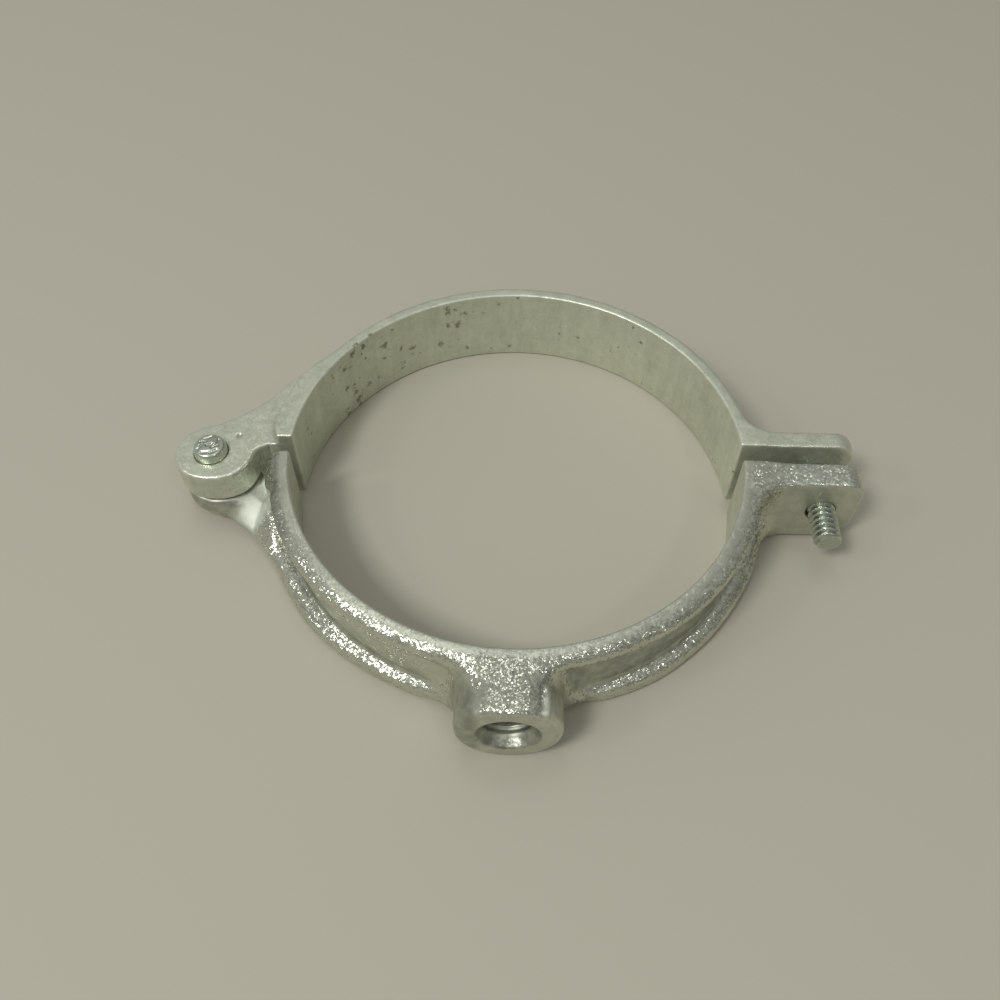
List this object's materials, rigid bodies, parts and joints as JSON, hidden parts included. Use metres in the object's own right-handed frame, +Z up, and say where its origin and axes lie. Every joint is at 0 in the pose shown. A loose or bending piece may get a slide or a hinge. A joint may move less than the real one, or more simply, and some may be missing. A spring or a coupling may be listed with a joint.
{
  "type": "hinged split-ring pipe clamp",
  "caption": "Hinged split-ring pipe clamp: two cast half rings joined by a pin, closed by a machine screw through two lugs, with a tapped boss for a hanger rod.",
  "frame": {"origin": "centre of the bounding box, on the plane that the clamp lies flat on; the ring's axis is parallel to Z through x = 0, y = 4.8 mm", "axes": "+X from the hinge towards the bolting lugs, -Y the way the rod boss points, +Z up along the ring's axis"},
  "size_m": [0.1386, 0.1054, 0.0185],
  "materials": {
    "cast_zinc": "zinc plated malleable iron, satin to bright, with a rough cast grain on the flanges",
    "strap_zinc": "zinc plated malleable iron, smooth satin, with small rust specks inside",
    "pin_steel": "zinc plated steel with a staked end",
    "screw_steel": "zinc plated steel, bright thread crests"
  },
  "bodies": {
    "rod_half_body": {"rod_half": "cast_zinc", "hinge_pin": "pin_steel"},
    "strap_half_body": {"strap_half": "strap_zinc"},
    "screw_body": {"clamp_screw": "screw_steel"}
  },
  "joints": [
    {"name": "clamp_hinge", "type": "hinge", "parent": "rod_half_body", "child": "strap_half_body", "pos_m": [-0.0622, 0.0044, 0], "axis": [0, 0, 1], "range_deg": [-1.4, 180]},
    {"name": "screw_travel", "type": "slide", "parent": "strap_half_body", "child": "screw_body", "axis": [0, 1, 0], "range_m": [0, 0.016]}
  ]
}
